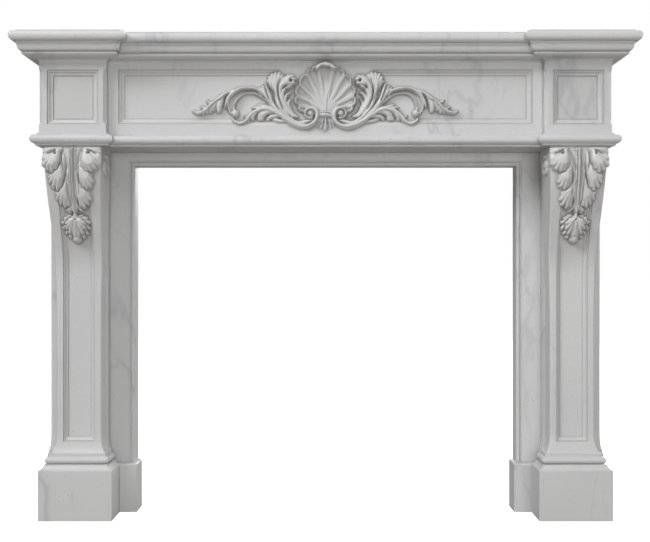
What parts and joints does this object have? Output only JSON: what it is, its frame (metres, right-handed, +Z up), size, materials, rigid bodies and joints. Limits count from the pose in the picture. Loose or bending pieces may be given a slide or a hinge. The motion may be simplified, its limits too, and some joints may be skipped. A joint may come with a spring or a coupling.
{
  "type": "fireplace mantel",
  "caption": "Breakfront marble fireplace mantel with bullnosed shelf, carved shell frieze, acanthus console legs, plinth blocks and a moulded slip frame round the firebox opening.",
  "frame": {"origin": "on the floor, at the middle of the overall width and depth", "axes": "+X to the right seen from the room, +Y towards the wall, +Z up"},
  "size_m": [1.732, 0.28, 1.3671],
  "materials": {
    "marble": "satin"
  },
  "bodies": {
    "root": {"shelf": "marble", "frieze": "marble", "architrave": "marble", "header_slip": "marble", "left_corner_block": "marble", "left_leg": "marble", "left_jamb": "marble", "left_slip": "marble", "left_plinth": "marble", "left_slip_plinth": "marble", "right_corner_block": "marble", "right_leg": "marble", "right_jamb": "marble", "right_slip": "marble", "right_plinth": "marble", "right_slip_plinth": "marble"}
  },
  "joints": []
}
